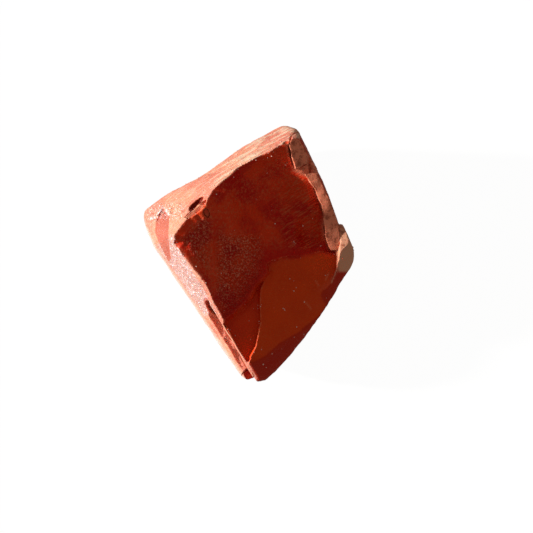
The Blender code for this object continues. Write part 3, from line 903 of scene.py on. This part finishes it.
    fine = times(noise(0.6, 3, 0.7), 0.35)
    pits = times(spread(noise(0.7, 2, 0.7), 0.40, 0.62), times(at["grain"], 0.8))
    combed = times(noise(0.8, 2, 0.5, alongHackle), times(at["hackle"], 2.0))
    dragged = times(streaks, times(at["streaked"], 0.5))
    skinBumps = times(times(noise(0.9, 5, 0.7), 0.5), at["skin"])
    pocks = times(spread(noise(0.8, 3, 0.6), 0.42, 0.6, 0.0, -0.3), at["pitted"])
    height = fine
    for more in (pits, combed, dragged, skinBumps, pocks):
        height = times(height, more, "ADD")
    bump = add(tree, "ShaderNodeBump", None, {"Strength": 0.9, "Distance": 0.0004, "Height": height})
    tree.links.new(bump.outputs["Normal"], shader.inputs["Normal"])

    shader.inputs["IOR"].default_value = clay["ior"]
    shader.inputs["Specular IOR Level"].default_value = clay["sheen"]
    shader.inputs["Subsurface Weight"].default_value = clay["scatter"]
    shader.inputs["Subsurface Radius"].default_value = (1.0, 0.28, 0.12)
    shader.inputs["Subsurface Scale"].default_value = clay["scatterMm"] * mm
    return material


def crumbMaterial():  # dry crumbs of the same clay, pale with trapped dust
    material = bpy.data.materials.new("dry clay crumbs, dusty")
    material.use_nodes = True
    tree = material.node_tree
    shader = tree.nodes["Principled BSDF"]
    place = add(tree, "ShaderNodeTexCoord").outputs["Object"]
    pattern = {"Vector": place, "Scale": 1400.0, "Detail": 1.0}
    varied = add(tree, "ShaderNodeTexNoise", None, pattern).outputs["Fac"]
    shades = {0: varied, 6: colour(grit["dark"]), 7: colour(grit["pale"])}
    tint = add(tree, "ShaderNodeMix", {"data_type": "RGBA"}, shades)
    tree.links.new(tint.outputs[2], shader.inputs["Base Color"])
    shader.inputs["Roughness"].default_value = 0.7
    return material


def gritTree(material):
    tree = bpy.data.node_groups.new("grit", "GeometryNodeTree")
    for label, kind, way in (
        ("Geometry", "NodeSocketGeometry", "INPUT"),
        ("Density", "NodeSocketFloat", "INPUT"),
        ("Smallest", "NodeSocketFloat", "INPUT"),
        ("Largest", "NodeSocketFloat", "INPUT"),
        ("Geometry", "NodeSocketGeometry", "OUTPUT"),
    ):
        tree.interface.new_socket(label, in_out=way, socket_type=kind)
    given = add(tree, "NodeGroupInput").outputs
    where = add(tree, "GeometryNodeInputNamedAttribute", {"data_type": "FLOAT"}, {"Name": "grit"})
    factors = {0: where.outputs["Attribute"], 1: given["Density"]}
    density = add(tree, "ShaderNodeMath", {"operation": "MULTIPLY"}, factors)
    inputs = {"Mesh": given["Geometry"], "Density": density.outputs[0], "Seed": grit["seed"]}
    points = add(tree, "GeometryNodeDistributePointsOnFaces", None, inputs)
    crumb = add(tree, "GeometryNodeMeshIcoSphere", None, {"Radius": 0.5, "Subdivisions": 1})
    vector = {"data_type": "FLOAT_VECTOR"}
    turn = add(tree, "FunctionNodeRandomValue", vector, {"Max": (6.28, 6.28, 6.28), "Seed": 1})
    sizes = {2: given["Smallest"], 3: given["Largest"], "Seed": 2}
    size = add(tree, "FunctionNodeRandomValue", {"data_type": "FLOAT"}, sizes)
    shapes = {"Min": (0.5, 0.5, 0.4), "Max": (1.3, 1.0, 0.9), "Seed": 3}
    shape = add(tree, "FunctionNodeRandomValue", vector, shapes)
    scaled = {0: shape.outputs[0], "Scale": size.outputs[1]}
    scale = add(tree, "ShaderNodeVectorMath", {"operation": "SCALE"}, scaled)
    inputs = {"Points": points.outputs["Points"], "Instance": crumb.outputs["Mesh"]}
    inputs |= {"Rotation": turn.outputs[0], "Scale": scale.outputs[0]}
    placedCrumbs = add(tree, "GeometryNodeInstanceOnPoints", None, inputs)
    real = add(tree, "GeometryNodeRealizeInstances", None, {"Geometry": placedCrumbs.outputs[0]})
    painted = add(tree, "GeometryNodeSetMaterial", None, {"Geometry": real.outputs[0], "Material": material})
    add(tree, "NodeGroupOutput", None, {"Geometry": painted.outputs[0]})
    return tree


def makeGrit(name, host, material):
    carrier = bpy.data.objects.new("gritCarrier", host.data)
    bpy.context.scene.collection.objects.link(carrier)
    modifier = carrier.modifiers.new("grit", "NODES")
    tree = gritTree(material)
    wanted = {"Density": grit["density"] / mm**2}
    wanted |= {"Smallest": grit["smallest"] * mm, "Largest": grit["largest"] * mm}
    sockets = {item.name: item.identifier for item in tree.interface.items_tree if item.in_out == "INPUT"}
    modifier.node_group = tree
    for label, value in wanted.items():
        modifier[sockets[label]] = value
    bpy.context.view_layer.update()
    made = carrier.evaluated_get(bpy.context.evaluated_depsgraph_get())
    mesh = bpy.data.meshes.new_from_object(made)
    bpy.data.objects.remove(carrier)
    piece = bpy.data.objects.new(name, mesh)
    bpy.context.scene.collection.objects.link(piece)
    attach(piece, "root")
    print(f"{name}: {len(mesh.polygons)} triangles")
    return piece


clayLook = clayMaterial()
crumbLook = crumbMaterial()

coarse = 1.0
core = makePiece("clayCore", "clay_core", coreField, lump["voxel"] * coarse, clayLook)
slab = makePiece("sideSlab", "side_slab", slabField, 0.3 * coarse, clayLook)
makePiece("tipBlock", "tip_block", blockField, 0.22 * coarse, clayLook)
makePiece("grooveFin", "groove_fin", finField, 0.2 * coarse, clayLook)
for node in flakes:
    title = node.split("_")[0] + node.split("_")[1].title()
    makePiece(title, node, flakeField(node), 0.2 * coarse, clayLook)
makeGrit("coreCrumbs", core, crumbLook)
makeGrit("slabCrumbs", slab, crumbLook)

sun = {"way": 175, "elevation": 17, "strength": 5.5, "angle": 3.0, "colour": (1.0, 0.97, 0.93)}
fill = {"strength": 0.23, "colour": (1.0, 0.90, 0.80, 1)}
paper = {"halfWidth": 0.6, "below": 0.0002, "tone": (0.05, 0.05, 0.05, 1), "glow": 0.97, "roughness": 0.9}
middle = Vector((cadLow + cadHigh) / 2)


def makeFloor():
    mesh = bpy.data.meshes.new("floor")
    half = paper["halfWidth"]
    corners = [(-half, -half, 0), (half, -half, 0), (half, half, 0), (-half, half, 0)]
    at = Vector((middle.x, middle.y, cadLow.z - paper["below"]))
    mesh.from_pydata([Vector(c) + at for c in corners], [], [(0, 1, 2, 3)])
    floor = bpy.data.objects.new("floor", mesh)
    bpy.context.scene.collection.objects.link(floor)
    material = bpy.data.materials.new("matt white paper, evenly lit")
    material.use_nodes = True
    shader = material.node_tree.nodes["Principled BSDF"]
    shader.inputs["Base Color"].default_value = paper["tone"]
    shader.inputs["Roughness"].default_value = paper["roughness"]
    shader.inputs["Specular IOR Level"].default_value = 0.0
    shader.inputs["Emission Color"].default_value = (1, 1, 1, 1)
    shader.inputs["Emission Strength"].default_value = paper["glow"]
    mesh.materials.append(material)
    floor.visible_diffuse = False
    floor.visible_glossy = False


def makeLight():
    light = bpy.data.lights.new("sun", "SUN")
    light.energy = sun["strength"]
    light.angle = math.radians(sun["angle"])
    light.color = sun["colour"]
    lamp = bpy.data.objects.new("sun", light)
    bpy.context.scene.collection.objects.link(lamp)
    toSun = Vector(direction(sun["way"], 90 - sun["elevation"]).tolist())
    lamp.rotation_euler = toSun.to_track_quat("Z", "Y").to_euler()
    world = bpy.data.worlds.new("studio")
    world.use_nodes = True
    world.node_tree.nodes["Background"].inputs["Color"].default_value = fill["colour"]
    world.node_tree.nodes["Background"].inputs["Strength"].default_value = fill["strength"]
    bpy.context.scene.world = world


camera = {"distance": 0.40, "frameWidth": 0.160, "aside": (0.0054, -0.0033)}


def makeCamera():
    data = bpy.data.cameras.new("camera")
    reach = camera["distance"] - boxSize[2] * 0.45 * mm
    data.angle = 2 * math.atan(camera["frameWidth"] / 2 / reach)
    item = bpy.data.objects.new("camera", data)
    bpy.context.scene.collection.objects.link(item)
    asideX, asideY = camera["aside"]
    item.location = (middle.x + asideX, middle.y + asideY, cadLow.z + camera["distance"])
    bpy.context.scene.camera = item
    bpy.context.scene.view_settings.view_transform = "Standard"


makeFloor()
makeLight()
makeCamera()
print("floor, light and camera set")
